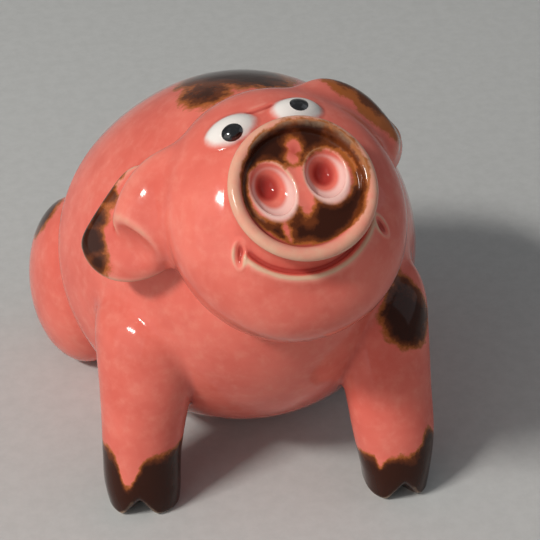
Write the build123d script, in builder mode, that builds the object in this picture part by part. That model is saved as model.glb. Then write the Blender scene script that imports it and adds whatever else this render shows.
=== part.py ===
"""Sitting pig figurine in glazed ceramic, built from separately formed clay pieces.

Millimetres, +Z up. The pig faces -Y and its left side is +X. The origin is the middle of the flat
seat under the rump, on the surface that the figurine stands on.
"""
import os
from math import cos, radians, sin, sqrt

from build123d import *

os.makedirs("parts", exist_ok=True)

# Clay shared by the hollow pieces
wall = 4.5
cut_margin = 10.0

# Torso: a hollow egg that leans back on its rump, pressed flat where it sits
torso_width = 73.0
torso_depth = 68.8
chest_length = 42.0
rump_length = 43.5
torso_lean = 38.0
seat_depth = 1.5
vent_diameter = 3.2
vent_place_share = 0.55
neck_vent_diameter = 6.0

# Head: a hollow egg set on the chest end, looking up with a tilt to one side
head_width = 43.0
head_height = 46.6
face_depth = 14.5
nape_depth = 20.0
neck_gap = 3.6
head_lift = 1.3
head_aside = 0.7
head_pitch = 48.6
head_turn = 1.7
head_tilt = 12.0

# Snout: a drum with a rolled rim, a dished face and two pressed nostrils
snout_diameter = 25.6
snout_neck_diameter = 22.6
snout_reach = 5.7
snout_root = 12.0
snout_drop = 1.2
rim_thickness = 2.4
rim_overhang = 2.2
dish_depth = 0.7
nostril_spacing = 9.0
nostril_rise = 1.6
nostril_width = 7.0
nostril_height = 10.0
nostril_depth = 2.0
nostril_slant = 15.0
pit_diameter = 4.4
pit_depth = 3.2

# Mouth: a smile scored round the lower side of the snout, with a dimple at each end
mouth_radius = 12.9
mouth_groove = 1.8
mouth_sweep = 128.0
dimple_diameter = 3.2

# Eyes: flattened pellets with a bead of black glaze on each
eye_spacing = 12.4
eye_rise = 14.6
eye_width = 9.6
eye_height = 6.6
eye_bulge = 1.7
eye_sink = 1.2
pupil_width = 4.3
pupil_height = 3.6
pupil_bulge = 0.35
pupil_sink = 0.8
right_pupil_drop = 1.2
left_pupil_drop = 0.2

# Ears: a leaf with a straight upper edge, its front folded over in a full lobe above a shallow cup
leaf_length = 23.2
leaf_width = 19.2
leaf_thickness = 5.2
right_leaf_edge_offset = 7.2
left_leaf_edge_offset = 9.0
lobe_length = 22.0
lobe_width = 13.8
lobe_thickness = 8.8
lobe_inset = 2.9
lobe_lift = 0.7
lobe_forward = 4.6
cup_diameter = 24.4
cup_aside = 8.4
cup_drop = 10.8
cup_forward = 12.0
right_ear_aside = 23.4
left_ear_aside = 18.9
right_ear_lift = 8.8
left_ear_lift = 13.0
right_ear_back = 8.8
left_ear_back = 6.2
right_ear_size_share = 1.0
left_ear_size_share = 0.9
ear_sweep = 17.5
leaf_slant = 14.5
leaf_edge_slant = 57.0
lobe_slant = 41.0

# Forelegs: planted forward, flaring into the shoulder, with cloven hooves
foreleg_height = 42.0
right_hoof_width = 14.8
left_hoof_width = 13.2
hoof_length = 15.0
sole_inset = 0.6
pastern_diameter = 14.0
knee_diameter = 16.6
arm_diameter = 20.5
shoulder_diameter = 23.0
right_foot_aside = 25.6
left_foot_aside = 23.3
right_foot_forward = 27.9
left_foot_forward = 34.1
right_toe_turn = 16.0
left_toe_turn = 0.0
foreleg_height_shares = (0.0, 0.10, 0.26, 0.50, 0.76, 1.0)
foreleg_lean_shares = (0.0, 0.0, 0.04, 0.26, 0.62, 1.0)
shoulder_side_share = 0.56
shoulder_forward_share = 0.36
cleft_width = 6.2
cleft_depth = 6.0
cleft_height = 9.5

# Haunches and hind feet: rounded thighs beside the rump, with feet tucked along the belly
haunch_width = 22.0
haunch_length = 33.0
haunch_height = 36.0
haunch_side_share = 0.79
haunch_back = 15.5
haunch_sink = 1.0
hind_foot_width = 12.0
hind_foot_height = 11.0
hind_foot_length = 24.0
hind_foot_side_share = 0.575
hind_cleft_depth = 4.0
hind_cleft_width = 3.6

# Tail: a thin clay roll curled on itself and pressed on above the rump
tail_diameter = 3.6
tail_curl_diameter = 12.6
tail_step = 1.05
tail_quarters = 5
tail_rise = 20.0
tail_sink = 0.9


def facing(turn, rise):
    """Direction that faces forward, turned to the pig's right and raised, in degrees."""
    level = cos(radians(rise))
    return Vector(-level * sin(radians(turn)), -level * cos(radians(turn)), sin(radians(rise)))


def egg(width, height, front_length, back_length):
    """Egg about the origin, its long axis on Z with the front end up."""
    with BuildPart() as form:
        with BuildSketch(Plane.XZ):
            with BuildLine():
                EllipticalCenterArc((0, 0), 1, front_length, start_angle=0, arc_size=90)
                EllipticalCenterArc((0, 0), 1, back_length, start_angle=270, arc_size=90)
                Line((0, -back_length), (0, front_length))
            make_face()
        revolve(axis=Axis.Z)
        scale(by=(width / 2, height / 2, 1))
    return form.part


def ball(width, length, height):
    """Ellipsoid about the origin, by its three full sizes."""
    with BuildPart() as form:
        Sphere(1)
        scale(by=(width / 2, length / 2, height / 2))
    return form.part


def cleft(toe, toe_way, width, depth, height):
    """Wedge that splits a hoof from its toe back, narrowing upwards to a point in front of it."""
    with BuildPart() as wedge:
        with BuildSketch(Plane(toe, x_dir=toe_way.rotate(Axis.Z, 90))) as notch:
            with BuildLine():
                Polyline((0, depth), (-width, -depth), (width, -depth), close=True)
            make_face()
        loft([notch.sketch, Vertex(*(toe + toe_way * depth + Vector(0, 0, height)))])
    return wedge.part


def finish(form, label):
    """Name a finished piece and write it out."""
    form.part.label = label
    export_step(form.part, f"parts/{label}.step")


# The torso's place: leaning, with the middle of its seat at the origin
lean_sin = sin(radians(torso_lean))
lean_cos = cos(radians(torso_lean))
back_radius = torso_depth / 2
rump_reach = sqrt((back_radius * lean_cos) ** 2 + (rump_length * lean_sin) ** 2)
torso_height = rump_reach - seat_depth
lean_skew = (back_radius**2 - rump_length**2) * lean_sin * lean_cos
torso_center = Vector(0, torso_height * lean_skew / rump_reach**2, torso_height)
torso_axis = facing(0, torso_lean)
forward_way = facing(0, 0)
torso_plane = Plane(torso_center, x_dir=(1, 0, 0), z_dir=torso_axis)
torso_form = egg(torso_width, torso_depth, chest_length, rump_length)

# The head's place: on the chest end, turned, raised and tilted
neck_end = torso_axis * (chest_length + neck_gap)
head_center = torso_center + neck_end + torso_plane.y_dir * head_lift + torso_plane.x_dir * head_aside
face_axis = facing(head_turn, head_pitch)
level_side = Vector(0, 0, 1).cross(face_axis)
head_side = level_side.rotate(Axis((0, 0, 0), face_axis), head_tilt)
head_plane = Plane(head_center, x_dir=head_side, z_dir=face_axis)
head_form = egg(head_width, head_height, face_depth, nape_depth)


def face_place(across, up):
    """Place on the face, in the head's own directions, and the way that the surface points there."""
    across_share = across / (head_width / 2)
    up_share = up / (head_height / 2)
    forward_share = sqrt(1 - across_share**2 - up_share**2)
    slope = Vector(across_share / (head_width / 2), up_share / (head_height / 2), forward_share / face_depth)
    return Vector(across, up, face_depth * forward_share), slope


def face_plane(across, up):
    """Plane on the face of the head, square to its surface."""
    place, slope = face_place(across, up)
    outward = head_plane.from_local_coords(slope) - head_center
    return Plane(head_plane.from_local_coords(place), x_dir=head_plane.x_dir, z_dir=outward)


# Torso
seat_radius = sqrt(2 * rump_reach * seat_depth)
with BuildPart() as torso:
    with Locations(torso_plane):
        add(torso_form)
        hollow = egg(torso_width - 2 * wall, torso_depth - 2 * wall, chest_length - wall, rump_length - wall)
        add(hollow, mode=Mode.SUBTRACT)
    split(bisect_by=Plane.XY, keep=Keep.TOP)
    with BuildSketch(Plane.XY):
        with Locations((0, seat_radius * vent_place_share)):
            Circle(vent_diameter / 2)
    extrude(amount=torso_height, mode=Mode.SUBTRACT)
    with BuildSketch(torso_plane):
        Circle(neck_vent_diameter / 2)
    extrude(amount=chest_length + cut_margin, mode=Mode.SUBTRACT)
finish(torso, "torso")

# Mouth cut: a round groove in a part turn about the snout's axis, with a dimple at each end
mouth_level = face_place(0, -snout_drop - mouth_radius)[0].Z
mouth_plane = Plane((0, -snout_drop, mouth_level)).rotated((0, 0, 270 - mouth_sweep / 2))
with BuildPart() as mouth_cut:
    with BuildSketch(Plane.XZ):
        with Locations((mouth_radius, 0)):
            Circle(mouth_groove / 2)
    revolve(axis=Axis.Z, revolution_arc=mouth_sweep)
    with PolarLocations(mouth_radius, 2, angular_range=mouth_sweep, endpoint=True):
        Sphere(dimple_diameter / 2)

# Head: open at the neck, with the mouth scored into its face
with BuildPart() as head_bowl:
    add(head_form)
    hollow = egg(head_width - 2 * wall, head_height - 2 * wall, face_depth - wall, nape_depth - wall)
    add(hollow, mode=Mode.SUBTRACT)
    with Locations(mouth_plane):
        add(mouth_cut.part, mode=Mode.SUBTRACT)

with BuildPart() as head:
    with Locations(head_plane):
        add(head_bowl.part)
    with Locations(torso_plane):
        add(torso_form, mode=Mode.SUBTRACT)
finish(head, "head")

# Snout in its own directions, about the Z axis, with its rim at the front
rim_radius = rim_thickness / 2
snout_radius = snout_diameter / 2
neck_radius = snout_neck_diameter / 2
rim_level = face_depth + snout_reach - rim_radius
root_level = rim_level - snout_root
dish_radius = snout_radius - rim_thickness
with BuildPart() as snout_form:
    with BuildSketch(Plane.XZ):
        with BuildLine():
            Polyline(
                (0, rim_level - dish_depth),
                (0, root_level),
                (neck_radius, root_level),
                (neck_radius, rim_level - rim_overhang),
                (snout_radius, rim_level),
            )
            CenterArc((snout_radius - rim_radius, rim_level), rim_radius, 0, 180)
            EllipticalCenterArc((0, rim_level), dish_radius, dish_depth, start_angle=270, arc_size=90)
        make_face()
    revolve(axis=Axis.Z)
    for side in (-1, 1):
        nostril_place = Plane((side * nostril_spacing / 2, nostril_rise, rim_level))
        with Locations(nostril_place.rotated((0, 0, -nostril_slant))):
            add(ball(nostril_width, nostril_height, 2 * nostril_depth), mode=Mode.SUBTRACT)
            add(ball(pit_diameter, pit_diameter, 2 * pit_depth), mode=Mode.SUBTRACT)

with BuildPart() as snout:
    with Locations(Plane(head_plane.from_local_coords((0, -snout_drop, 0)), head_plane.x_dir, face_axis)):
        add(snout_form.part)
    with Locations(head_plane):
        add(head_form, mode=Mode.SUBTRACT)
finish(snout, "snout")

# Eyes and pupils
eye_form = ball(eye_width, eye_height, 2 * (eye_bulge + eye_sink))
pupil_form = ball(pupil_width, pupil_height, 2 * (pupil_bulge + pupil_sink))
for side, name, drop in ((-1, "right", right_pupil_drop), (1, "left", left_pupil_drop)):
    eye_plane = face_plane(side * eye_spacing / 2, eye_rise).offset(-eye_sink)
    pupil_level = (eye_bulge + eye_sink) * sqrt(1 - (drop / (eye_height / 2)) ** 2) - pupil_sink
    with BuildPart() as eye:
        with Locations(eye_plane):
            add(eye_form)
        with Locations(head_plane):
            add(head_form, mode=Mode.SUBTRACT)
    finish(eye, f"eye_{name}")
    with BuildPart() as pupil:
        pupil_place = eye_plane.from_local_coords((0, -drop, pupil_level))
        with Locations(Plane(pupil_place, eye_plane.x_dir, eye_plane.z_dir)):
            add(pupil_form)
        with Locations(eye_plane):
            add(eye_form, mode=Mode.SUBTRACT)
        with Locations(head_plane):
            add(head_form, mode=Mode.SUBTRACT)
    finish(pupil, f"pupil_{name}")



def ear_clay(side, leaf_edge_offset):
    """Ear about the middle of its leaf, in the head's own directions."""
    sweep_sin = sin(radians(ear_sweep))
    sweep_cos = cos(radians(ear_sweep))

    def outward(slant):
        """Direction out of the head and back, slanted down."""
        level = cos(radians(slant))
        return Vector(side * level * sweep_cos, -sin(radians(slant)), -level * sweep_sin)

    front = Vector(side * sweep_sin, 0, sweep_cos)
    edge_way = outward(-leaf_edge_slant)
    with BuildPart() as form:
        with Locations(Plane((0, 0, 0), x_dir=outward(leaf_slant), z_dir=front)):
            add(ball(leaf_length, leaf_width, leaf_thickness))
        split(bisect_by=Plane(edge_way * leaf_edge_offset, z_dir=edge_way), keep=Keep.BOTTOM)
        lobe_place = (-side * lobe_inset, lobe_lift, lobe_forward)
        with Locations(Plane(lobe_place, x_dir=outward(lobe_slant), z_dir=front)):
            add(ball(lobe_length, lobe_width, lobe_thickness))
        with Locations((side * cup_aside, -cup_drop, cup_forward)):
            Sphere(cup_diameter / 2, mode=Mode.SUBTRACT)
    return form.part


# Ears
right_ear_place = (-right_ear_aside, right_ear_lift, -right_ear_back)
left_ear_place = (left_ear_aside, left_ear_lift, -left_ear_back)
right_ear = (-1, "right", right_ear_place, right_leaf_edge_offset, right_ear_size_share)
left_ear = (1, "left", left_ear_place, left_leaf_edge_offset, left_ear_size_share)
for side, name, place, leaf_edge_offset, size_share in (right_ear, left_ear):
    ear_form = scale(ear_clay(side, leaf_edge_offset), by=size_share)
    with BuildPart() as ear:
        with Locations(Plane(head_plane.from_local_coords(place), head_plane.x_dir, face_axis)):
            add(ear_form)
        with Locations(head_plane):
            add(head_form, mode=Mode.SUBTRACT)
        with Locations(torso_plane):
            add(torso_form, mode=Mode.SUBTRACT)
    finish(ear, f"ear_{name}")

# Forelegs: round sections lofted from the sole up into the shoulder, then cloven at the toe
right_leg = (-1, "right", right_foot_aside, right_foot_forward, right_toe_turn, right_hoof_width)
left_leg = (1, "left", left_foot_aside, left_foot_forward, left_toe_turn, left_hoof_width)
for side, name, aside, forward, toe_turn, hoof_width in (right_leg, left_leg):
    foot = Vector(side * aside, torso_center.Y - forward, 0)
    shoulder = Vector(
        side * shoulder_side_share * torso_width / 2,
        torso_center.Y - shoulder_forward_share * chest_length,
        0,
    )
    upper_sizes = (pastern_diameter, knee_diameter, arm_diameter, shoulder_diameter)
    leg_widths = (hoof_width - 2 * sole_inset, hoof_width, *upper_sizes)
    leg_lengths = (hoof_length - 2 * sole_inset, hoof_length, *upper_sizes)
    leg_stations = zip(foreleg_height_shares, foreleg_lean_shares, leg_widths, leg_lengths)
    with BuildPart() as foreleg:
        for level, lean, width, length in leg_stations:
            place = foot + (shoulder - foot) * lean + Vector(0, 0, foreleg_height * level)
            with BuildSketch(Plane(place)):
                Ellipse(width / 2, length / 2)
        loft()
        toe_way = forward_way.rotate(Axis.Z, side * toe_turn)
        toe = foot + toe_way * (hoof_length / 2)
        add(cleft(toe, toe_way, cleft_width, cleft_depth, cleft_height), mode=Mode.SUBTRACT)
        with Locations(torso_plane):
            add(torso_form, mode=Mode.SUBTRACT)
    finish(foreleg, f"foreleg_{name}")

# Haunches and hind feet
haunch_form = ball(haunch_width, haunch_length, haunch_height)
foot_form = ball(hind_foot_width, hind_foot_length, 2 * hind_foot_height)
for side, name in ((-1, "right"), (1, "left")):
    haunch_place = (side * haunch_side_share * torso_width / 2, haunch_back, haunch_height / 2 - haunch_sink)
    foot_place = (side * hind_foot_side_share * torso_width / 2, haunch_back - haunch_length / 2, 0)
    with BuildPart() as haunch:
        with Locations(haunch_place):
            add(haunch_form)
        split(bisect_by=Plane.XY, keep=Keep.TOP)
        with Locations(torso_plane):
            add(torso_form, mode=Mode.SUBTRACT)
    finish(haunch, f"haunch_{name}")
    with BuildPart() as hind_foot:
        with Locations(foot_place):
            add(foot_form)
        split(bisect_by=Plane.XY, keep=Keep.TOP)
        hind_toe = Vector(*foot_place) + forward_way * (hind_foot_length / 2)
        hind_cleft = cleft(hind_toe, forward_way, hind_cleft_width, hind_cleft_depth, hind_foot_height)
        add(hind_cleft, mode=Mode.SUBTRACT)
        with Locations(haunch_place):
            add(haunch_form, mode=Mode.SUBTRACT)
        with Locations(torso_plane):
            add(torso_form, mode=Mode.SUBTRACT)
    finish(hind_foot, f"hind_foot_{name}")

# Tail: a thin roll curled inwards by quarter turns, laid on the rump where it points back and up
tail_way = Vector(0, cos(radians(tail_rise)), sin(radians(tail_rise)))
across_back = torso_plane.y_dir * (torso_plane.y_dir.dot(tail_way) * back_radius**2)
along_rump = torso_axis * (torso_axis.dot(tail_way) * rump_length**2)
rump_point = across_back + along_rump
tail_place = torso_center + rump_point * (1 / sqrt(rump_point.dot(tail_way)))
tail_plane = Plane(tail_place, x_dir=(1, 0, 0), z_dir=tail_way).offset(tail_diameter / 2 - tail_sink)
with BuildPart() as tail_form:
    with BuildLine() as curl:
        reach = tail_curl_diameter / 2
        turn = JernArc((reach, 0), (0, 1), reach, 90)
        for quarter in range(1, tail_quarters):
            turn = JernArc(turn @ 1, turn % 1, reach - quarter * tail_step, 90)
    with BuildSketch(Plane(curl.line @ 0, z_dir=curl.line % 0)):
        Circle(tail_diameter / 2)
    sweep(path=curl.line)
    with Locations(curl.line @ 0, curl.line @ 1):
        Sphere(tail_diameter / 2)

with BuildPart() as tail:
    with Locations(tail_plane):
        add(tail_form.part)
    with Locations(torso_plane):
        add(torso_form, mode=Mode.SUBTRACT)
finish(tail, "tail")
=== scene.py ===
"""Looks of a sitting pig figurine in thick pink glaze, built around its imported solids.

The clay is described once, as distances in millimetres to the named pieces, joined the way slip and
glaze join them. That surface is meshed, cut along the lines where pieces meet, and glazed.
"""
from itertools import product
from math import cos, radians, sin, sqrt

import bmesh
import bpy
import numpy as np
from mathutils import Matrix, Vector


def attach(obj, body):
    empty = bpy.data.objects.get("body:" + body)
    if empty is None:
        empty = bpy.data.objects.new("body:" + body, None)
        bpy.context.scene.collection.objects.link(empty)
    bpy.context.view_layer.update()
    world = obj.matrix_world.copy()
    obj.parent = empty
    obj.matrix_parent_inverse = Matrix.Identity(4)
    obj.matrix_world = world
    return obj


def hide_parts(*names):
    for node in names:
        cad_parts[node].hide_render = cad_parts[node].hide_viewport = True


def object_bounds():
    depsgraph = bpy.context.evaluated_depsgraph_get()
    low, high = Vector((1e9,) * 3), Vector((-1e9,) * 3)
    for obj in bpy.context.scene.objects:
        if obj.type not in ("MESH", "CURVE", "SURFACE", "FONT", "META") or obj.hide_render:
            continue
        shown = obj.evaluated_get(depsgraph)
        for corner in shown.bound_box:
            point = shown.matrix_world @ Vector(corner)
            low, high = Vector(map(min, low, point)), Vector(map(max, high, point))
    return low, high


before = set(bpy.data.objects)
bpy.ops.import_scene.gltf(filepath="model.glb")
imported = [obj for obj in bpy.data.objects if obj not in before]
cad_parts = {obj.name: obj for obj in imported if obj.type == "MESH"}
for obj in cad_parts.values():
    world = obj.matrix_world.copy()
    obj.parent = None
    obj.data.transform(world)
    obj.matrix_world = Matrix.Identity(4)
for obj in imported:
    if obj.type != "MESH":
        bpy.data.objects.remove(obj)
cad_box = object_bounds()

METRE = 0.001

# Torso: an egg that leans back on its rump
torso_radii = np.array((35.8, 34.4, 42.0))
chest_taper = 0.26
rump_length = 43.5
torso_lean = radians(38.0)
seat_depth = 1.5
seat_edge = 1.5
vent_radius = 1.6
vent_back = 6.2
vent_depth = 4.0
vent_edge = 0.4

# Head: an egg on the chest end, looking up with a tilt to one side
head_radii = np.array((21.5, 23.3, 14.5))
nape_depth = 20.0
neck_gap = 3.6
head_lift = 1.3
head_aside = 0.7
head_pitch = radians(48.6)
head_turn = radians(1.7)
head_tilt = radians(12.0)

# Snout: a drum with a rolled rim, a dished face and two pressed nostrils
snout_drop = 1.2
snout_neck_radius = 11.2
rim_radius = 1.2
rim_ring_radius = 11.6
rim_level = 19.0
dish_level = 18.0
dish_dome = 0.5
dish_edge = 0.6
rim_fillet = 1.6
snout_face_level = 14.0
nostril_lip_shift = (0.0, -0.8, -0.4)
nostril_lip_growth = (0.8, 0.7, -0.9)
nostril_lip_fillet = 1.2
nostril_pit_fillet = 1.0
nostril_edge = 0.9

# Mouth: a groove round the lower side of the snout, with a lip below it and a dimple at each end
mouth_radius = 12.4
mouth_depth = 0.7
mouth_spread = 0.7
mouth_half_sweep = radians(50.0)
mouth_fade = radians(14.0)
lip_radius = 13.9
lip_height = 0.8
lip_inner_spread = 0.8
lip_outer_spread = 1.4
dimple_radii = (0.6, 1.3)
dimple_depth = 0.7
dimple_ring = 0.15
dimple_ring_share = 1.9
dimple_spread_share = 0.5
brow_ends = ((-2.2, 16.6), (2.2, 16.9))
brow_depth = 0.3
brow_spread = 0.5

# Eyes: flattened pellets with a bead of black glaze on each
eye_across = 6.2
eye_rise = 14.6
eye_radii = np.array((4.8, 3.3, 2.9))
eye_sink = 1.2
pupil_radii = np.array((2.0, 1.65, 1.15))
pupil_sink = 0.8
pupil_drops = {"right": 1.2, "left": 0.2}

# Ears: a leaf with a straight upper edge, its front folded over in a full lobe above a shallow cup
leaf_radii = np.array((12.2, 9.6, 2.6))
lobe_radii = np.array((11.0, 6.9, 4.4))
lobe_inset = 2.9
lobe_lift = 0.7
lobe_forward = 4.6
cup_radii = np.array((8.6, 5.0, 4.8))
cup_aside = 4.7
cup_drop = 5.4
cup_slant = radians(-60.0)
cup_edge = 1.6
leaf_edge = 1.4
fold_growth = 3.0
fold_start = 1.0
fold_reach = 6.0
ear_sweep = radians(17.5)
leaf_sweep = radians(27.0)
ear_pitch = 0.14
leaf_slant = radians(14.5)
leaf_edge_slant = radians(57.0)
lobe_slant = radians(41.0)

# Forelegs: shares of their height, and sizes there
foreleg_height = 42.0
leg_height_shares = (0.0, 0.10, 0.26, 0.50, 0.76, 1.0)
leg_lean_shares = (0.0, 0.0, 0.04, 0.26, 0.62, 1.0)
upper_leg_radii = (7.8, 8.7, 10.25, 11.5)
hoof_length = 15.0
sole_inset = 0.6
hoof_squareness = 0.6
shoulder_rounding = 8.0
shoulder_aside = 20.44
shoulder_forward = 17.4
cleft_width = 8.4
cleft_depth = 6.0
cleft_height = 10.5
cleft_edge = 0.8
cleft_rounding = 0.12
sole_edge = 1.2
leg_slope_share = 0.93

# Haunches, hind feet and tail
haunch_radii = np.array((11.0, 16.5, 18.0))
haunch_center = np.array((28.84, 15.5, 17.0))
hind_foot_radii = np.array((6.0, 12.0, 11.0))
hind_foot_center = np.array((20.99, -1.0, 0.0))
hind_cleft_width = 3.6
hind_cleft_depth = 4.0
hind_cleft_edge = 0.9
tail_radius = 1.8
tail_curl_radius = 6.3
tail_step = 1.4
tail_quarters = 4
quarter_steps = 6
tail_rise = radians(20.0)
tail_sink = 0.9

# Clay: slow waves of hand forming, which fade out towards the floor
wave_size = 7.5
wave_height = 0.16
wave_fade_height = 6.0

# Reach round its middle within which each small piece is worked out
head_reach = 40.0
snout_reach = 24.0
ear_reach = 24.0
tail_reach = 14.0
eye_reach = 10.0
pupil_reach = 6.0

# Mesh: the grid that finds the surface, and finer edges where the detail is
grid_step = 0.85
grid_margin = 3.4
head_edge = 0.42
head_detail_center = (0.0, 2.0, 0.0)
head_detail_reach = 38.0
head_detail_back = -15.0
face_edge = 0.24
face_detail_level = 8.0
face_detail_reach = 21.0
hoof_edge = 0.42
hoof_detail_reach = 11.0
hoof_detail_height = 10.0
long_edge_share = 1.5
least_cut_share = 0.02
least_slope = 0.2
longest_shift = 0.4

# Brown glaze: the depth that stands for none, how spots run together, and where it is thin
no_mark = -9.0
body_spot_blend = 1.2
head_spot_blend = 0.8
hoof_brown_reach = 12.0
hind_toe_brown_radii = (7.0, 6.5, 7.0)
snout_brown_radius = 10.9
snout_brown_thickness = 1.3
cream_way = np.array((-0.6, -0.8))
cream_inset = 1.2
center_guard = 0.01
thin_ear_start = (13.0, 5.0)
thin_ear_fade = 4.0
ear_thinness = 2.6
thin_snout_center = (10.0, 2.0)
thin_snout_spread = 4.0
snout_thinness = 1.6

# Pale rings and red pits of the nostrils, whites of the eyes, and reach of a ridge; the pale rings carry
# painted light and the red pits painted shade
pale_ring_drop = 0.9
pale_ring_growth = 0.6
pale_ring_lift = 0.6
pale_ring_inset = (0.7, 0.9)
pale_ring_overlap = 0.6
red_pit_radii = (2.4, 2.8)
red_bridge_center = (0.9, 6.8)
red_bridge_radii = (2.0, 2.6)
red_bridge_share = 0.5
white_growth = 0.15
white_level = 5.0
ridge_reach = 1.1

# Sizes of the unevenness in the glaze
cloud_size = 14.0
mottle_size = 2.6
grain_size = 0.8
pool_size = 5.0
ripple_size = 3.5
ripple_height = 0.4
gloss_size = 1.2
bead_size = 0.9
bead_gloss_size = 0.5
paper_grain_size = 3.0


def unit(vector):
    """The same direction, one long."""
    vector = np.asarray(vector, float)
    return vector / np.linalg.norm(vector)


def length(vectors):
    """Length of each row."""
    return np.sqrt((vectors * vectors).sum(axis=1))


def unit_rows(vectors):
    """Each row, one long."""
    return vectors / (length(vectors)[:, None] + 1e-12)


def facing(turn, rise):
    """Direction that faces forward, turned to the pig's right and raised."""
    return np.array((-cos(rise) * sin(turn), -cos(rise) * cos(turn), sin(rise)))


class Place:
    """A centre and three square directions, which turn the part's points into a piece's own."""

    def __init__(self, center, x_dir, z_dir):
        self.center = np.asarray(center, float)
        z_axis = unit(z_dir)
        x_axis = unit(np.asarray(x_dir, float) - z_axis * np.dot(x_dir, z_axis))
        self.axes = np.stack((x_axis, np.cross(z_axis, x_axis), z_axis))

    def local(self, points):
        """Points in the piece's own directions."""
        return (points - self.center) @ self.axes.T

    def world(self, points):
        """The piece's own points back in the part."""
        return self.center + np.asarray(points, float) @ self.axes


# Places of the torso and the head
rump_reach = sqrt((torso_radii[1] * cos(torso_lean)) ** 2 + (rump_length * sin(torso_lean)) ** 2)
torso_height = rump_reach - seat_depth
lean_skew = (torso_radii[1] ** 2 - rump_length**2) * sin(torso_lean) * cos(torso_lean)
torso_center = np.array((0.0, torso_height * lean_skew / rump_reach**2, torso_height))
torso_axis = facing(0.0, torso_lean)
torso = Place(torso_center, (1, 0, 0), torso_axis)

face_axis = facing(head_turn, head_pitch)
level_side = unit(np.cross((0, 0, 1), face_axis))
head_side = level_side * cos(head_tilt) + np.cross(face_axis, level_side) * sin(head_tilt)
neck_end = torso_axis * (torso_radii[2] + neck_gap)
head_center = torso_center + neck_end + torso.axes[1] * head_lift + torso.axes[0] * head_aside
head = Place(head_center, head_side, face_axis)


def face_place(across, up):
    """Place on the face in the head's own directions, square to the surface."""
    shares = np.array((across, up)) / head_radii[:2]
    forward_share = sqrt(1 - (shares**2).sum())
    slope = np.array((*(shares / head_radii[:2]), forward_share / head_radii[2]))
    return Place((across, up, head_radii[2] * forward_share), (1, 0, 0), slope)


# Forms, as distances that are true near their surfaces


def ellipsoid(points, radii):
    """Distance to an ellipsoid about the origin."""
    scaled = points / radii
    size = length(scaled)
    return size * (size - 1) / (length(scaled / radii) + 1e-9)


def egg(points, radii, back_length):
    """Distance to an egg about the origin, with another length behind."""
    lengths = np.where(points[:, 2] > 0, radii[2], back_length)
    sizes = np.stack((np.full_like(lengths, radii[0]), np.full_like(lengths, radii[1]), lengths), axis=1)
    return ellipsoid(points, sizes)


def rod(points, start, end, radius):
    """Distance to a round-ended rod."""
    run = np.asarray(end, float) - start
    along = np.clip((points - start) @ run / (run @ run), 0, 1)
    return length(points - start - along[:, None] * run) - radius


def join(first, second, fillet):
    """Both forms, with a fillet of slip between them."""
    mix = np.clip(fillet - np.abs(first - second), 0, None) / fillet
    return np.minimum(first, second) - mix * mix * fillet / 4


def carve(form, tool, edge):
    """A form without another, with the edge softened."""
    return -join(-form, tool, edge)


def near(points, center, reach, field):
    """A small form's distance, worked out only within reach of its centre."""
    distance = length(points - center)
    close = distance < reach
    result = distance - reach / 2
    result[close] = field(points[close])
    return result


def smooth_steps(height, heights, values):
    """Values at given heights, followed smoothly in between."""
    heights = np.asarray(heights)
    values = np.asarray(values)
    slopes = np.gradient(values, heights)
    index = np.clip(np.searchsorted(heights, height) - 1, 0, len(heights) - 2)
    gap = heights[index + 1] - heights[index]
    share = np.clip((height - heights[index]) / gap, 0, 1)
    rise = values[index + 1] - values[index]
    bend = (slopes[index] * gap - rise) * (1 - share) - (slopes[index + 1] * gap - rise) * share
    return values[index] + rise * share + share * (1 - share) * bend


def stand(form, points, edge):
    """A form cut off level at the surface that it stands on."""
    return carve(form, points[:, 2], edge)


def toe_notch(points, toe, turn, width, depth, height):
    """Wedge that splits a hoof at its toe."""
    across = (points[:, 0] - toe[0]) * cos(turn) + (points[:, 1] - toe[1]) * sin(turn)
    back = (points[:, 1] - toe[1]) * cos(turn) - (points[:, 0] - toe[0]) * sin(turn)
    slope = unit((2 * depth * height, width * height, 2 * depth * width))
    rounded = np.sqrt(across**2 + cleft_rounding)
    return slope[0] * rounded + slope[1] * (back - depth) + slope[2] * points[:, 2]


# Pieces


def snout_face(local):
    """Places on the snout's face, across and up from its middle."""
    return local[:, :2] + (0, snout_drop)


def torso_form(points):
    """Egg that narrows towards the chest, with a flat seat and a vent under it."""
    own = torso.local(points)
    own[:, 0] *= 1 + chest_taper * np.clip(own[:, 2] / torso_radii[2], 0, 1)
    body = stand(egg(own, torso_radii, rump_length), points, seat_edge)
    vent = np.maximum(length(points[:, :2] - (0, vent_back)) - vent_radius, points[:, 2] - vent_depth)
    return carve(body, vent, vent_edge)


# Nostrils: place on the snout, radii, and the deeper pit in each
NOSTRILS = {
    "right": {
        "place": Place((-4.8, 0.3, 18.5), (1, 0.1, 0), (0, 0, 1)),
        "radii": np.array((3.5, 4.8, 2.0)),
        "pit": np.array((-0.2, 0.9, -0.9)),
        "pit_radii": np.array((2.2, 2.6, 2.4)),
    },
    "left": {
        "place": Place((4.7, 0.0, 18.5), (1, -0.15, 0), (0, 0, 1)),
        "radii": np.array((3.5, 4.4, 2.0)),
        "pit": np.array((0.1, 0.6, -0.9)),
        "pit_radii": np.array((2.2, 2.5, 2.4)),
    },
}


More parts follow.
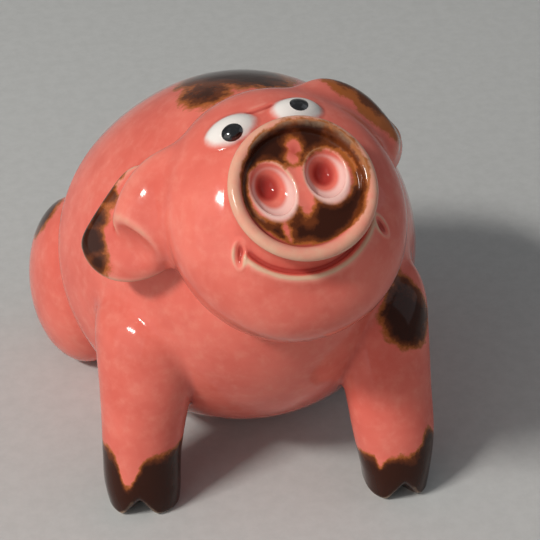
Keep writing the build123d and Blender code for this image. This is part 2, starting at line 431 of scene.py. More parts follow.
def snout_form(local):
    """Drum, rolled rim and dish, then the nostrils pressed into the dish."""
    axis_points = local + (0, snout_drop, 0)
    ring = length(axis_points[:, :2])
    rim = np.hypot(ring - rim_ring_radius, axis_points[:, 2] - rim_level) - rim_radius
    dome = dish_level + dish_dome * (1 - (ring / rim_ring_radius) ** 2)
    drum = carve(ring - snout_neck_radius, dome - axis_points[:, 2], dish_edge)
    drum = np.maximum(drum, -axis_points[:, 2])
    form = join(drum, rim, rim_fillet)
    for nostril in NOSTRILS.values():
        spot = nostril["place"].local(local)
        scoop = ellipsoid(spot, nostril["radii"])
        pit = ellipsoid(spot - nostril["pit"], nostril["pit_radii"])
        lip = ellipsoid(spot - nostril_lip_shift, nostril["radii"] + nostril_lip_growth)
        form = carve(join(form, lip, nostril_lip_fillet), join(scoop, pit, nostril_pit_fillet), nostril_edge)
    return form


# Dimples at the ends of the smile: place on the face and turn
DIMPLES = ((-12.6, -7.0, radians(-18.0)), (12.6, -9.6, radians(28.0)))


def bell(distance, spread):
    """Rounded profile of a pressed or raised line."""
    return np.exp(-((distance / spread) ** 2))


def face_marks(local):
    """How far the clay of the face is pressed in, or raised where below 0."""
    face = snout_face(local)
    ring = length(face)
    angle = np.abs(np.arctan2(face[:, 0], -face[:, 1]))
    smile = np.where(angle < mouth_half_sweep, 1.0, bell(angle - mouth_half_sweep, mouth_fade))
    marks = smile * mouth_depth * bell(ring - mouth_radius, mouth_spread)
    lip_spread = np.where(ring < lip_radius, lip_inner_spread, lip_outer_spread)
    marks = marks - smile * lip_height * bell(ring - lip_radius, lip_spread)
    for across, up, turn in DIMPLES:
        spot = face_place(across, up)
        spot = Place(spot.center, spot.axes[0] * cos(turn) + spot.axes[1] * sin(turn), spot.axes[2])
        reach = length(spot.local(local)[:, :2] / dimple_radii)
        raised = bell(reach - dimple_ring_share, dimple_spread_share)
        marks = marks + dimple_depth * bell(reach, 1.0) - dimple_ring * raised
    brow_start, brow_end = (face_place(*end).center for end in brow_ends)
    brow = rod(local, brow_start, brow_end, 0.0)
    return marks + brow_depth * bell(brow, brow_spread)


def head_form(local):
    """The egg, with the marks pressed into its face."""
    form = egg(local, head_radii, nape_depth)
    return form + np.where(local[:, 2] > 0, face_marks(local), 0.0)


# Eyes: place of each pellet and of the bead on it, in the head's own directions
EYES = {}
for side_name, side_sign in (("right", -1), ("left", 1)):
    drop = pupil_drops[side_name]
    surface = face_place(side_sign * eye_across, eye_rise)
    eye_place = Place(surface.center - surface.axes[2] * eye_sink, surface.axes[0], surface.axes[2])
    pupil_level = eye_radii[2] * sqrt(1 - (drop / eye_radii[1]) ** 2) - pupil_sink
    pupil_center = eye_place.world((0, -drop, pupil_level))
    EYES[side_name] = (eye_place, Place(pupil_center, surface.axes[0], surface.axes[2]))

# Ears about the middle of the leaf, in the head's own directions with the outer side on +X
EARS = {
    "right": {
        "side": -1,
        "place": (-23.4, 8.8, -8.8),
        "size": 1.0,
        "edge_offset": 7.8,
        "lobe_size": 1.0,
        "fold": 0.5,
        "cup_level": 4.2,
    },
    "left": {
        "side": 1,
        "place": (19.3, 12.5, -6.2),
        "size": 0.88,
        "edge_offset": 5.2,
        "lobe_size": 1.05,
        "fold": 6.0,
        "cup_level": 9.6,
    },
}


def ear_way(slant):
    """Direction out of the head and back, slanted down."""
    return np.array((cos(slant) * cos(ear_sweep), -sin(slant), -cos(slant) * sin(ear_sweep)))


ear_front = np.array((sin(ear_sweep), -ear_pitch, cos(ear_sweep)))
leaf_front = np.array((sin(leaf_sweep), -ear_pitch, cos(leaf_sweep)))
leaf_place = Place((0, 0, 0), ear_way(leaf_slant), leaf_front)
lobe_place = Place((-lobe_inset, lobe_lift, lobe_forward), ear_way(lobe_slant), ear_front)
cup_place = Place((cup_aside, -cup_drop, 0), ear_way(cup_slant), ear_front)


def ear_form(local, ear):
    """Leaf with a straight upper edge, a lobe folded over its front and a cup pressed below that."""
    own = (local - np.array(ear["place"])) * (ear["side"], 1, 1) / ear["size"]
    leaf = ellipsoid(leaf_place.local(own), leaf_radii)
    leaf = carve(leaf, ear["edge_offset"] - own @ ear_way(-leaf_edge_slant), leaf_edge)
    lobe = ellipsoid(lobe_place.local(own), lobe_radii * ear["lobe_size"])
    cup = ellipsoid(cup_place.local(own) - (0, 0, ear["cup_level"]), cup_radii)
    fold = ear["fold"] + fold_growth * np.clip((fold_start - own[:, 1]) / fold_reach, 0, 1)
    return carve(join(leaf, lobe, fold), cup, cup_edge) * ear["size"]


# Forelegs: side, place of the foot, turn of the toe and width of the hoof
FORELEGS = {
    "right": {"side": -1, "foot": np.array((-25.6, -36.6)), "turn": radians(-16.0), "width": 14.8},
    "left": {"side": 1, "foot": np.array((23.3, -42.8)), "turn": 0.0, "width": 13.2},
}


def foreleg_form(points, leg):
    """Roll of clay that leans in to the shoulder, on a hoof with a cleft."""
    share = points[:, 2] / foreleg_height
    lean = smooth_steps(share, leg_height_shares, leg_lean_shares)
    hoof = leg["width"] / 2
    half_width = smooth_steps(share, leg_height_shares, (hoof - sole_inset, hoof, *upper_leg_radii))
    half_hoof = hoof_length / 2
    lengths = (half_hoof - sole_inset, half_hoof, *upper_leg_radii)
    half_length = smooth_steps(share, leg_height_shares, lengths)
    shoulder = np.array((leg["side"] * shoulder_aside, torso_center[1] - shoulder_forward))
    off_axis = points[:, :2] - leg["foot"] - lean[:, None] * (shoulder - leg["foot"])
    square = 2 + hoof_squareness * np.clip(1 - share / leg_height_shares[2], 0, 1)
    shares = np.abs(off_axis) / np.stack((half_width, half_length), axis=1)
    ring = (shares ** square[:, None]).sum(axis=1) ** (1 / square)
    form = (ring - 1) * np.minimum(half_width, half_length) * leg_slope_share
    form = stand(carve(form, foreleg_height - points[:, 2], shoulder_rounding), points, sole_edge)
    toe_way = np.array((sin(leg["turn"]), -cos(leg["turn"])))
    toe = leg["foot"] + toe_way * half_hoof
    notch = toe_notch(points, toe, leg["turn"], cleft_width, cleft_depth, cleft_height)
    return carve(form, notch, cleft_edge)


def hind_foot_form(points, side):
    """Flattened pad with a cleft at its toe."""
    center = hind_foot_center * (side, 1, 1)
    form = stand(ellipsoid(points - center, hind_foot_radii), points, sole_edge)
    toe = center[:2] - (0, hind_foot_radii[1])
    notch = toe_notch(points, toe, 0.0, hind_cleft_width, hind_cleft_depth, hind_foot_radii[2])
    return carve(form, notch, hind_cleft_edge)


def tail_curl():
    """Points along the tail's roll, curled inwards by quarter turns and laid on the rump."""
    way = np.array((0, cos(tail_rise), sin(tail_rise)))
    rump = torso.axes[1] * (torso.axes[1] @ way * torso_radii[1] ** 2)
    rump = rump + torso_axis * (torso_axis @ way * rump_length**2)
    center = torso_center + rump / sqrt(rump @ way) + way * (tail_radius - tail_sink)
    place = Place(center, (1, 0, 0), way)
    points = [(tail_curl_radius, 0, 0)]
    pivot = np.zeros(2)
    for quarter in range(tail_quarters):
        radius = tail_curl_radius - quarter * tail_step
        for turn in quarter + np.arange(1, quarter_steps + 1) / quarter_steps:
            heading = np.array((cos(turn * np.pi / 2), sin(turn * np.pi / 2)))
            points.append((*(pivot + heading * radius), 0))
        pivot = pivot + heading * tail_step
    return place.world(points)


TAIL = tail_curl()


def tail_form(points):
    """Distance to the roll, stretch by stretch."""
    distances = [rod(points, start, end, tail_radius) for start, end in zip(TAIL[:-1], TAIL[1:])]
    return np.min(distances, axis=0)


# Which pieces there are, with the fillet where each joins the pieces before it
FILLETS = {
    "torso": 0.0,
    "haunch_right": 3.0,
    "haunch_left": 3.0,
    "hind_foot_right": 1.6,
    "hind_foot_left": 1.6,
    "foreleg_right": 1.6,
    "foreleg_left": 1.6,
    "tail": 0.8,
    "head": 1.8,
    "snout": 1.6,
    "ear_right": 3.6,
    "ear_left": 3.0,
    "eye_right": 0.9,
    "eye_left": 0.9,
    "pupil_right": 0.12,
    "pupil_left": 0.12,
}
PIECES = list(FILLETS)


def piece_distances(points):
    """Distance from each point to each piece, one column per piece."""
    local = head.local(points)
    columns = {"torso": torso_form(points)}
    columns["head"] = near(local, np.zeros(3), head_reach, head_form)
    columns["snout"] = near(local, np.array((0, 0, snout_face_level)), snout_reach, snout_form)
    columns["tail"] = near(points, TAIL.mean(axis=0), tail_reach, tail_form)
    for name, ear in EARS.items():
        columns[f"ear_{name}"] = near(local, ear["place"], ear_reach, lambda q: ear_form(q, ear))
    for name, (eye_place, pupil_place) in EYES.items():
        columns[f"eye_{name}"] = near(
            local, eye_place.center, eye_reach, lambda q: ellipsoid(eye_place.local(q), eye_radii)
        )
        columns[f"pupil_{name}"] = near(
            local, pupil_place.center, pupil_reach, lambda q: ellipsoid(pupil_place.local(q), pupil_radii)
        )
    for name, leg in FORELEGS.items():
        side = leg["side"]
        columns[f"foreleg_{name}"] = foreleg_form(points, leg)
        thigh = ellipsoid(points - haunch_center * (side, 1, 1), haunch_radii)
        columns[f"haunch_{name}"] = stand(thigh, points, seat_edge)
        columns[f"hind_foot_{name}"] = hind_foot_form(points, side)
    return np.stack([columns[name] for name in PIECES], axis=1)


# Waves in the clay: direction and phase of each
WAVES = (((1.0, 0.6, 0.0), 1.3), ((0.0, 0.8, -0.5), 0.4), ((0.7, 0.0, 0.9), 2.1))


def unevenness(points):
    """Slow waves that hand-formed clay keeps."""
    first, second, third = (np.sin(points @ np.array(way) / wave_size + phase) for way, phase in WAVES)
    return wave_height * (first * second + third)


def clay(points):
    """Distance to the whole figurine, its pieces joined with slip."""
    distances = piece_distances(points)
    form = distances[:, 0]
    for column, name in enumerate(PIECES[1:], start=1):
        form = join(form, distances[:, column], FILLETS[name])
    lift = np.clip(points[:, 2] / wave_fade_height, 0, 1)
    return form + unevenness(points) * lift


def slope_of(points, step=0.03):
    """Which way the surface faces, by small steps each way."""
    steps = np.eye(3) * step
    sides = [clay(points + way) - clay(points - way) for way in steps]
    return np.stack(sides, axis=1) / (2 * step)


def settle(points, passes):
    """Points moved onto the surface."""
    for _ in range(passes):
        slope = slope_of(points)
        shift = clay(points) / np.clip((slope * slope).sum(axis=1), least_slope, None)
        points = points - np.clip(shift, -longest_shift, longest_shift)[:, None] * slope
    return points


# Meshing


def cell_points(values):
    """Middle of the surface in each grid cell that it crosses, in grid steps, and which cells these are."""
    cells = tuple(size - 1 for size in values.shape)
    corner = np.array(np.meshgrid(*[np.arange(size) for size in cells], indexing="ij"), float)
    total = np.zeros((*cells, 3))
    count = np.zeros(cells)
    for axis in range(3):
        for sides in product((0, 1), repeat=2):
            start = np.insert(np.array(sides), axis, 0)
            end = start + np.eye(3, dtype=int)[axis]
            a = values[tuple(slice(move, move + size) for move, size in zip(start, cells))]
            b = values[tuple(slice(move, move + size) for move, size in zip(end, cells))]
            crossed = (a < 0) != (b < 0)
            place = corner + start[:, None, None, None]
            place[axis] += np.where(crossed, a / np.where(crossed, a - b, 1), 0)
            total += np.where(crossed, place, 0).transpose(1, 2, 3, 0)
            count += crossed
    active = count > 0
    return total[active] / count[active][:, None], active


def cell_quads(inside, number):
    """Faces over the grid's crossed edges, each through the numbered points of the four cells around."""
    quads = []
    for axis in range(3):
        low_side = [slice(1, -1)] * 3
        low_side[axis] = slice(0, -1)
        high_side = [slice(1, -1)] * 3
        high_side[axis] = slice(1, None)
        a, b = inside[tuple(low_side)], inside[tuple(high_side)]
        edges = np.argwhere(a != b)
        outward = a[tuple(edges.T)]
        edges = edges + 1
        edges[:, axis] -= 1
        ring = []
        for back_one, back_two in ((1, 1), (0, 1), (0, 0), (1, 0)):
            cell = edges.copy()
            cell[:, (axis + 1) % 3] -= back_one
            cell[:, (axis + 2) % 3] -= back_two
            ring.append(number[tuple(cell.T)])
        ring = np.stack(ring, axis=1)
        quads.append(np.where(outward[:, None], ring, ring[:, ::-1]))
    return np.concatenate(quads)


def first_mesh(low, high, step):
    """Triangles of the surface on a plain grid, one point in each cell that it crosses."""
    axes = [np.arange(start, end + step, step) for start, end in zip(low, high)]
    grid = np.stack(np.meshgrid(*axes, indexing="ij"), axis=-1)
    values = np.stack([clay(slab.reshape(-1, 3)).reshape(slab.shape[:2]) for slab in grid])
    places, active = cell_points(values)
    number = np.full(active.shape, -1)
    number[active] = np.arange(active.sum())
    quads = cell_quads(values < 0, number)
    return places * step + np.asarray(low), np.concatenate((quads[:, (0, 1, 2)], quads[:, (0, 2, 3)]))


def split_edges(points, triangles, choose):
    """Cuts edges where choose says, as a share of each edge or nothing, and the triangles beside them."""
    sides = np.stack([triangles, np.roll(triangles, -1, axis=1)], axis=2).reshape(-1, 2)
    edges, which = np.unique(np.sort(sides, axis=1), axis=0, return_inverse=True)
    share = choose(points, edges)
    cut = ~np.isnan(share)
    added = np.full(len(edges), -1)
    added[cut] = len(points) + np.arange(cut.sum())
    ends = points[edges[cut]]
    fresh = ends[:, 0] + (ends[:, 1] - ends[:, 0]) * share[cut][:, None]
    middles = added[which.reshape(-1)].reshape(-1, 3)
    marked = middles >= 0
    count = marked.sum(axis=1)
    turn = np.zeros(len(triangles), int)
    turn[count == 1] = marked[count == 1].argmax(axis=1)
    turn[count == 2] = (marked[count == 2].argmin(axis=1) + 1) % 3
    order = (np.arange(3) + turn[:, None]) % 3
    corners = np.take_along_axis(triangles, order, axis=1)
    middles = np.take_along_axis(middles, order, axis=1)
    both = np.concatenate((corners, middles), axis=1)
    patterns = {
        0: ((0, 1, 2),),
        1: ((0, 3, 2), (3, 1, 2)),
        2: ((3, 1, 4), (0, 3, 4), (0, 4, 2)),
        3: ((0, 3, 5), (3, 1, 4), (5, 4, 2), (3, 4, 5)),
    }
    parts = [both[count == cuts][:, pattern] for cuts, shapes in patterns.items() for pattern in shapes]
    return np.concatenate((points, fresh)), np.concatenate(parts)


def wanted_edge(points):
    """Longest edge that the detail at each point can have."""
    local = head.local(points)
    longest = np.full(len(points), 2 * grid_step)
    near_head = length(local - head_detail_center) < head_detail_reach
    on_head = near_head & (local[:, 2] > head_detail_back)
    longest[on_head] = head_edge
    on_face = (local[:, 2] > face_detail_level) & (length(local[:, :2]) < face_detail_reach)
    longest[on_face] = face_edge
    for leg in FORELEGS.values():
        beside_foot = length(points[:, :2] - leg["foot"]) < hoof_detail_reach
        longest[beside_foot & (points[:, 2] < hoof_detail_height)] = hoof_edge
    return longest


def split_long(points, edges):
    """Halves each edge that is too long for the detail there."""
    ends = points[edges]
    size = length(ends[:, 1] - ends[:, 0])
    return np.where(size > long_edge_share * wanted_edge(ends.mean(axis=1)), 0.5, np.nan)


def figurine_surface():
    """The whole surface: points, triangles and each point's distances to the pieces."""
    low = np.array(cad_box[0]) / METRE - grid_margin
    high = np.array(cad_box[1]) / METRE + grid_margin
    points, triangles = first_mesh(low, high, grid_step)
    points = settle(points, 3)
    for _ in range(3):
        count = len(points)
        points, triangles = split_edges(points, triangles, split_long)
        points[count:] = settle(points[count:], 2)
        if len(points) == count:
            break
    distances = piece_distances(points)
    for column in range(len(PIECES)):
        others = np.delete(distances, column, axis=1)
        lead = distances[:, column] - others.min(axis=1)

        def split_border(_, edges):
            """Cuts edges where this piece stops being the nearest."""
            start, end = lead[edges].T
            crossed = (start < 0) != (end < 0)
            share = start / np.where(crossed, start - end, 1)
            clear = (share > least_cut_share) & (share < 1 - least_cut_share)
            return np.where(crossed & clear, share, np.nan)

        count = len(points)
        points, triangles = split_edges(points, triangles, split_border)
        points[count:] = settle(points[count:], 1)
        distances = np.concatenate((distances, piece_distances(points[count:])))
    return points, triangles, distances


# Where the glaze differs, as measures on each point


def relief(points, normals, reach):
    """How the surface bends round each point: above 0 on ridges, below 0 in creases."""
    odd_way = (0.3, 0.5, 0.81)
    side = unit_rows(np.cross(normals, odd_way))
    other = np.cross(normals, side)
    total = 0
    ways = (side, other, -side, -other, side + other, side - other, other - side, -side - other)
    for way in ways:
        total = total + clay(points + reach * unit_rows(way))
    return total / len(ways) / reach


def blob(points, center, radii):
    """How deep a point lies in a rounded spot, in millimetres."""
    radii = np.asarray(radii, float)
    return (1 - length((points - np.asarray(center)) / radii)) * radii.min()


# Brown spots: centre, radii and how thick the brown is there
BODY_SPOTS = (
    ((1.0, -0.5, 71.5), (12.0, 11.0, 9.0), 0.55),
    ((-6.8, -10.2, 73.0), (5.0, 5.6, 6.0), 0.6),
    ((4.0, -7.0, 73.0), (7.5, 5.5, 6.0), 0.6),
    ((26.0, -38.4, 35.4), (6.4, 6.2, 6.2), 1.0),
    ((26.6, -36.4, 41.8), (4.2, 5.2, 5.6), 0.9),
    ((-35.6, 21.5, 30.4), (5.4, 5.4, 5.4), 0.8),
)
HEAD_SPOTS = (
    ((-23.6, 17.6, -8.6), (2.0, 2.0, 2.0), 0.9),
    ((-27.0, 15.0, -9.0), (2.6, 2.6, 2.6), 1.0),
    ((-30.2, 12.6, -10.6), (3.2, 3.2, 3.2), 1.2),
    ((-33.0, 9.4, -12.0), (3.6, 4.2, 3.6), 1.6),
    ((-33.0, 5.0, -12.4), (2.8, 3.0, 2.8), 1.0),
    ((18.8, 19.4, -1.4), (4.8, 4.8, 4.8), 0.7),
    ((22.8, 15.8, -3.2), (6.6, 6.6, 6.6), 0.7),
    ((26.2, 12.0, -5.2), (5.2, 5.2, 5.2), 0.8),
)
# Hooves: height of the brown, and its dips and rises as angle, spread and size
HOOF_EDGES = {
    "right": (14.8, ((-32.0, 18.0, -6.8),)),
    "left": (11.4, ((-38.0, 8.0, -2.4), (-80.0, 26.0, -1.4), (48.0, 18.0, 4.2))),
}
# Places on the snout's face that the brown leaves free
SNOUT_GAPS = (
    ((-5.0, 1.0), (4.1, 5.4)),
    ((4.9, 0.8), (4.1, 4.8)),
    ((-0.6, 0.4), (2.2, 4.4)),
    ((1.3, 7.6), (1.1, 1.4)),
    ((0.2, 5.6), (1.1, 1.3)),
    ((-5.0, -6.8), (0.4, 2.4)),
)
# Places where the brown on the snout is thickest, and its spread there
SNOUT_DARKS = (((3.4, -7.7), 5.0), ((-10.1, 2.2), 4.0), ((-5.7, 7.7), 4.0), ((-7.5, -6.2), 2.4))


def brown_depth(points):
    """How deep each point lies in the brown glaze, in millimetres."""
    local = head.local(points)
    depth = np.full(len(points), no_mark)
    for center, radii, thickness in BODY_SPOTS:
        depth = -join(-depth, -thickness * blob(points, center, radii), body_spot_blend)
    for center, radii, thickness in HEAD_SPOTS:
        depth = -join(-depth, -thickness * blob(local, center, radii), head_spot_blend)
    for name, leg in FORELEGS.items():
        off = points[:, :2] - leg["foot"]
        angle = np.degrees(np.arctan2(off[:, 0], -off[:, 1]))
        base, waves = HOOF_EDGES[name]
        edge = base + sum(size * bell(angle - at, spread) for at, spread, size in waves)
        on_leg = hoof_brown_reach - length(off)
        depth = np.maximum(depth, np.minimum(edge - points[:, 2], on_leg))
        toe = hind_foot_center * (leg["side"], 1, 1) - (0, hind_foot_radii[1], 0)
        depth = np.maximum(depth, blob(points, toe, hind_toe_brown_radii))
    return np.maximum(depth, snout_brown(local))


def brown_thinness(points):
    """How much thinner than elsewhere the brown is, on the left ear and that side of the snout."""
    local = head.local(points)
    on_ear = np.clip((local[:, :2] - thin_ear_start) / thin_ear_fade, 0, 1).prod(axis=1)
    on_snout = bell(length(snout_face(local) - thin_snout_center), thin_snout_spread)
    on_snout = on_snout * (local[:, 2] > snout_face_level)
    return ear_thinness * on_ear + snout_thinness * on_snout


def snout_brown(local):
    """Brown brushed on the snout's face, round the pale nostrils and inside a cream rim."""
    face = snout_face(local)
    ring = length(face)
    cream_side = face @ cream_way / (ring + center_guard)
    depth = snout_brown_radius - cream_inset * cream_side - ring
    for center, radii in SNOUT_GAPS:
        depth = np.minimum(depth, -blob(face, center, radii))
    darks = sum(bell(length(face - center), spread) for center, spread in SNOUT_DARKS)
    thickness = snout_brown_thickness + darks
    return np.where(local[:, 2] > snout_face_level, thickness * depth, no_mark)


def nostril_measures(local):
    """How deep each point lies in the pale ring round a nostril, which is thin glaze on the raised lower lip
    with painted light where that wall faces up, and in its red pit, which is pooled glaze with painted shade
    in the bowl's upper part.
    """
    face = snout_face(local)
    pale = np.full(len(local), no_mark)
    red = np.full(len(local), no_mark)
    for nostril in NOSTRILS.values():
        center = nostril["place"].center[:2] + (0, snout_drop)
        # The pale ring sits low in each nostril, where the wall faces up: painted light over thin glaze on
        # the lip
        outer = blob(face, center - (0, pale_ring_drop), nostril["radii"][:2] + pale_ring_growth)
        inner = blob(face, center + (0, pale_ring_lift), nostril["radii"][:2] - pale_ring_inset)
        pale = np.maximum(pale, np.minimum(outer, pale_ring_overlap - inner))
        # Red pit: pooled glaze, with painted shade in the upper part of each nostril bowl
        red = np.maximum(red, blob(face, center + nostril["pit"][:2], red_pit_radii))
    red = np.maximum(red, red_bridge_share * blob(face, red_bridge_center, red_bridge_radii))
    on_face = local[:, 2] > snout_face_level
    return np.where(on_face, pale, no_mark), np.where(on_face, red, no_mark)


def eye_depth(points):
    """How deep each point lies in the white of an eye, in millimetres."""
    local = head.local(points)
    depth = np.full(len(points), no_mark)
    for eye_place, _ in EYES.values():
        spot = eye_place.local(local)
        depth = np.maximum(depth, blob(spot[:, :2], (0, 0), eye_radii[:2] + white_growth))
    return np.where(local[:, 2] > white_level, depth, no_mark)


# Glaze


class Shader:
    """A material's nodes, added by kind with their inputs."""

    def __init__(self, name):
        self.material = bpy.data.materials.new(name)
        self.material.use_nodes = True
        self.tree = self.material.node_tree
        self.surface = self.tree.nodes["Principled BSDF"]

    def feed(self, socket, value):
        """Links a socket to another, or sets its value."""
        if isinstance(value, bpy.types.NodeSocket):
            self.tree.links.new(value, socket)
        else:
            socket.default_value = value

    def add(self, kind, inputs=(), output=0, **settings):
        """A new node with these inputs, by its output."""
        node = self.tree.nodes.new(kind)
        for key, value in settings.items():
            setattr(node, key, value)
        for key, value in dict(inputs).items():
            self.feed(node.inputs[key], value)
        return node.outputs[output]

    def measure(self, name):
        """A measure kept on the mesh's points."""
        return self.add("ShaderNodeAttribute", output=2, attribute_name=name)

    def noise(self, size, detail=3.0, roughness=0.55):
        """Even noise with patches of a size in millimetres."""
        place = self.add("ShaderNodeTexCoord", output=3)
        inputs = {"Vector": place, "Scale": 1 / (size * METRE), "Detail": detail, "Roughness": roughness}
        return self.add("ShaderNodeTexNoise", inputs)

    def math(self, operation, first, second=0.0, third=0.0):
        """A sum of two or three values."""
        return self.add("ShaderNodeMath", {0: first, 1: second, 2: third}, operation=operation)

    def step(self, value, low, high, start=0.0, end=1.0):
        """Smooth step from start to end as a value goes from low to high."""
        inputs = {"Value": value, 1: low, 2: high, 3: start, 4: end}
        return self.add("ShaderNodeMapRange", inputs, interpolation_type="SMOOTHSTEP")

    def mix(self, share, first, second):
        """Two colours, with this share of the second."""
        inputs = {0: share, 6: first, 7: second}
        return self.add("ShaderNodeMix", inputs, output=2, data_type="RGBA")

    def paint(self, under, over, measure, start, full, most=1.0):
        """One colour over another where a measure goes from start to full."""
        return self.mix(self.step(measure, start, full, 0.0, most), under, over)

    def roughen(self, measure, noise, amount):
        """A measure made uneven by noise, by up to half the amount either way."""
        return self.math("MULTIPLY_ADD", self.math("SUBTRACT", noise, 0.5), amount, measure)

    def finish(self, **inputs):
        """The material, with its surface's inputs."""
        for key, value in inputs.items():
            self.feed(self.surface.inputs[key.replace("_", " ")], value)
        return self.material


# Colours
ROSE = (0.74, 0.175, 0.130, 1)
DEEP_ROSE = (0.63, 0.120, 0.088, 1)
PALE_ROSE = (0.78, 0.30, 0.225, 1)
# Pale pink of the nostrils' lower rims: thin glaze on the raised lip, with painted light where the wall
# faces up
PALE_LIP_AND_PAINTED_LIGHT = (0.78, 0.50, 0.45, 1)
# Deep red of glaze pooled in creases and pits; in the nostril pits it is also painted shade
POOLED_RED_AND_SHADE = (0.36, 0.035, 0.028, 1)
CREAM = (0.62, 0.43, 0.29, 1)
WHITE = (0.74, 0.70, 0.66, 1)
AMBER = (0.34, 0.098, 0.016, 1)
RUSSET = (0.125, 0.030, 0.008, 1)
UMBER = (0.030, 0.007, 0.003, 1)
BARE_CLAY = (0.62, 0.50, 0.40, 1)
BLACK = (0.006, 0.006, 0.007, 1)
SLATE = (0.03, 0.032, 0.036, 1)
PAPER_SHADE = (0.47, 0.475, 0.465, 1)
PAPER = (0.51, 0.515, 0.505, 1)


def glaze(name):
    """Thick glaze: mottled pink, pale on ridges, red in creases, with brown spots and white eyes, and
    painted light and shade in the nostrils.
    """
    shader = Shader(name)
    mottle = shader.noise(mottle_size, 4.0, 0.6)
    grain = shader.noise(grain_size, 3.0, 0.6)
    ridge = shader.measure("ridge")
    brown = shader.measure("brown")

    color = shader.paint(DEEP_ROSE, ROSE, shader.noise(cloud_size), 0.30, 0.70)
    color = shader.paint(color, PALE_ROSE, mottle, 0.40, 0.85, 0.36)
    color = shader.paint(color, DEEP_ROSE, grain, 0.55, 0.85, 0.2)
    color = shader.paint(color, PALE_ROSE, ridge, 0.02, 0.13, 0.55)
    color = shader.paint(color, POOLED_RED_AND_SHADE, ridge, -0.02, -0.24, 0.8)
    broken = shader.roughen(ridge, mottle, 0.16)
    color = shader.paint(color, CREAM, broken, 0.09, 0.30, 0.85)

    ragged = shader.roughen(shader.roughen(brown, mottle, 3.0), grain, 1.0)
    thinness = shader.measure("thinness")
    deep = shader.math("MULTIPLY_ADD", thinness, -0.45, ragged)
    pooled = shader.roughen(ragged, shader.noise(pool_size, 4.0), 5.0)
    thick = shader.math("SUBTRACT", pooled, thinness)
    color = shader.paint(color, AMBER, ragged, -0.5, 0.3, 0.92)
    color = shader.paint(color, RUSSET, deep, 0.1, 1.0)
    color = shader.paint(color, UMBER, thick, 0.6, 2.4, 0.96)
    worn = shader.math("MULTIPLY", shader.step(broken, 0.14, 0.34, 0.0, 0.85), shader.step(brown, 0.0, 0.4))
    color = shader.mix(worn, color, CREAM)

    # Painted light: the pale lower rims of the nostrils, over thin glaze on the lip
    color = shader.paint(color, PALE_LIP_AND_PAINTED_LIGHT, shader.measure("pale"), 0.0, 0.8, 0.9)
    # Painted shade: red in the upper part of the nostril pits, over pooled glaze
    color = shader.paint(color, POOLED_RED_AND_SHADE, shader.measure("red"), 0.0, 1.5, 0.95)
    eye_edge = shader.roughen(shader.measure("white"), mottle, 0.8)
    color = shader.paint(color, WHITE, eye_edge, -0.2, 0.9)
    color = shader.paint(color, BARE_CLAY, shader.measure("height"), 0.5, 0.15)

    ripples = {"Height": shader.noise(ripple_size, 2.0), "Strength": 0.08, "Distance": ripple_height * METRE}
    bump = shader.add("ShaderNodeBump", ripples)
    roughness = shader.step(shader.noise(gloss_size), 0.3, 0.75, 0.07, 0.14)
    return shader.finish(Base_Color=color, Roughness=roughness, Normal=bump, IOR=1.3)


def black_glaze():
    """Black bead, a little greyer where the glaze is thin."""
    shader = Shader("black_glaze")
    color = shader.paint(BLACK, SLATE, shader.noise(bead_size), 0.5, 0.8)
    roughness = shader.step(shader.noise(bead_gloss_size), 0.3, 0.7, 0.06, 0.14)
    return shader.finish(Base_Color=color, Roughness=roughness, Coat_Weight=0.8, Coat_Roughness=0.04)


# Pieces of the scene


def build_piece(name, points, triangles, normals, measures, material):
    """One closed piece, with its share of the surface and caps where it meets its neighbours."""
    used, corners = np.unique(triangles, return_inverse=True)
    mesh = bpy.data.meshes.new(name)
    mesh.from_pydata((points[used] * METRE).tolist(), [], corners.reshape(-1, 3).tolist())
    for key, values in measures.items():
        layer = mesh.attributes.new(key, "FLOAT", "POINT")
        layer.data.foreach_set("value", values[used].astype(np.float32))
    form = bmesh.new()
    form.from_mesh(mesh)
    # A tip between two open edges is halved, so that no cap repeats it
    tips = [face for face in form.faces if sum(edge.is_boundary for edge in face.edges) == 2]
    bases = [edge for face in tips for edge in face.edges if not edge.is_boundary]
    bmesh.ops.subdivide_edges(form, edges=bases, cuts=1)
    open_edges = [edge for edge in form.edges if edge.is_boundary]
    caps = bmesh.ops.holes_fill(form, edges=open_edges, sides=0)["faces"]
    bmesh.ops.triangulate(form, faces=caps)
    form.to_mesh(mesh)
    form.free()
    mesh.shade_smooth()
    facings = np.zeros((len(mesh.vertices), 3))
    facings[: len(used)] = normals[used]
    mesh.normals_split_custom_set_from_vertices(facings.tolist())
    mesh.materials.append(material)
    piece = bpy.data.objects.new(f"{name}_glazed", mesh)
    bpy.context.scene.collection.objects.link(piece)
    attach(piece, "root")
    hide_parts(name)
    return piece


# Glaze of the pieces that aren't pink
SLOTS = {"eye": "white_glaze", "pupil": "black_glaze"}


def build_figurine():
    """Every piece of the figurine, cut from one surface and glazed."""
    points, triangles, distances = figurine_surface()
    normals = unit_rows(slope_of(points))
    pale, red = nostril_measures(head.local(points))
    measures = {
        "ridge": relief(points, normals, ridge_reach),
        "pale": pale,
        "red": red,
        "brown": brown_depth(points),
        "thinness": brown_thinness(points),
        "white": eye_depth(points),
        "height": points[:, 2],
    }
    owner = distances[triangles].mean(axis=1).argmin(axis=1)
    materials = {
        "pink_glaze": glaze("pink_glaze"),
        "white_glaze": glaze("white_glaze"),
        "black_glaze": black_glaze(),
    }
    for number, name in enumerate(PIECES):
        slot = SLOTS.get(name.split("_")[0], "pink_glaze")
        own = triangles[owner == number]
        piece = build_piece(name, points, own, normals, measures, materials[slot])


# Stage, light and camera


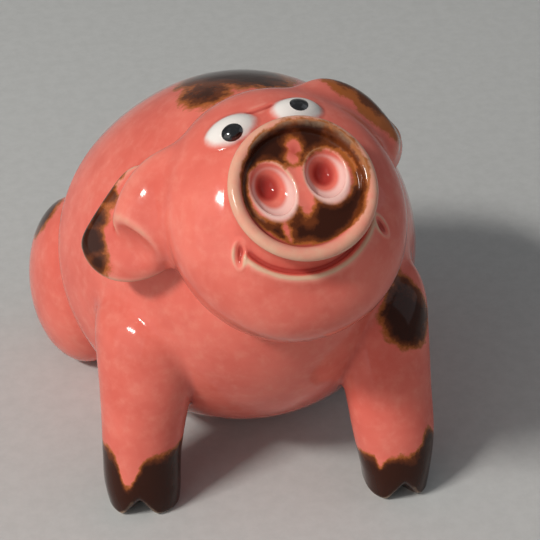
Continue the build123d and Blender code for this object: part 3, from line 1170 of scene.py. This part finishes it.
def build_stage():
    """A plain pale floor that curves up behind."""
    floor_front = -1.2
    floor_back = 0.9
    bend_radius = 0.5
    wall_height = 1.8
    half_width = 2.0
    bend_steps = 24
    profile = [(floor_front, 0.0)]
    for turn in np.linspace(0, np.pi / 2, bend_steps):
        profile.append((floor_back + bend_radius * sin(turn), bend_radius - bend_radius * cos(turn)))
    profile.append((floor_back + bend_radius, wall_height))
    verts = [(side * half_width, y, z) for y, z in profile for side in (-1, 1)]
    faces = [(2 * i, 2 * i + 1, 2 * i + 3, 2 * i + 2) for i in range(len(profile) - 1)]
    mesh = bpy.data.meshes.new("backdrop")
    mesh.from_pydata(verts, [], faces)
    mesh.shade_smooth()
    shader = Shader("backdrop_paper")
    color = shader.paint(PAPER_SHADE, PAPER, shader.noise(paper_grain_size, 6.0, 0.7), 0.3, 0.7)
    mesh.materials.append(shader.finish(Base_Color=color, Roughness=0.9))
    backdrop = bpy.data.objects.new("backdrop", mesh)
    bpy.context.scene.collection.objects.link(backdrop)


def add_lamp(name, place, target, size, power, color):
    """A rectangular soft lamp that shines at a point."""
    lamp = bpy.data.lights.new(name, "AREA")
    lamp.shape = "RECTANGLE"
    lamp.size, lamp.size_y = size
    lamp.energy = power
    lamp.color = color
    holder = bpy.data.objects.new(name, lamp)
    toward = unit(np.asarray(target) - place)
    side = unit(np.cross(toward, (0, 0, 1)))
    axes = np.stack((side, np.cross(side, toward), -toward), axis=1)
    holder.matrix_world = Matrix.Translation(place) @ Matrix(axes.tolist()).to_4x4()
    bpy.context.scene.collection.objects.link(holder)


def build_light():
    """A small window and a large soft box from the pig's right, a faint side light and a pale room."""
    middle = (0.0, -0.02, 0.045)
    add_lamp("window", (-0.69, -0.35, 0.77), middle, (0.26, 0.10), 8.4, (1.0, 0.97, 0.93))
    add_lamp("softbox", (-1.0, -0.65, 0.45), middle, (1.3, 1.0), 4.4, (1.0, 0.96, 0.91))
    add_lamp("side", (0.9, -0.2, 0.6), middle, (0.8, 0.8), 0.8, (0.88, 0.93, 1.0))
    world = bpy.data.worlds.new("room")
    bpy.context.scene.world = world
    world.use_nodes = True
    room = world.node_tree.nodes["Background"]
    room.inputs["Color"].default_value = (0.94, 0.97, 1.0, 1)
    room.inputs["Strength"].default_value = 0.23


def build_camera():
    """The photograph's view: from in front, above and a little to the pig's right."""
    azimuth = radians(-13.0)
    elevation = radians(34.0)
    aim = np.array((2.02, -26.35, 41.99)) * METRE
    distance = 0.4
    image_size = 540
    focal_pixels = 2101
    back = np.array((sin(azimuth) * cos(elevation), -cos(azimuth) * cos(elevation), sin(elevation)))
    side = np.array((cos(azimuth), sin(azimuth), 0))
    axes = np.stack((side, np.cross(back, side), back), axis=1)
    data = bpy.data.cameras.new("camera")
    data.sensor_width = 36.0
    data.lens = focal_pixels / image_size * data.sensor_width
    data.clip_start = 0.01
    camera = bpy.data.objects.new("camera", data)
    camera.matrix_world = Matrix.Translation(aim + back * distance) @ Matrix(axes.tolist()).to_4x4()
    bpy.context.scene.collection.objects.link(camera)
    bpy.context.scene.camera = camera


build_camera()
build_stage()
build_light()
build_figurine()
bpy.context.scene.view_settings.view_transform = "Standard"
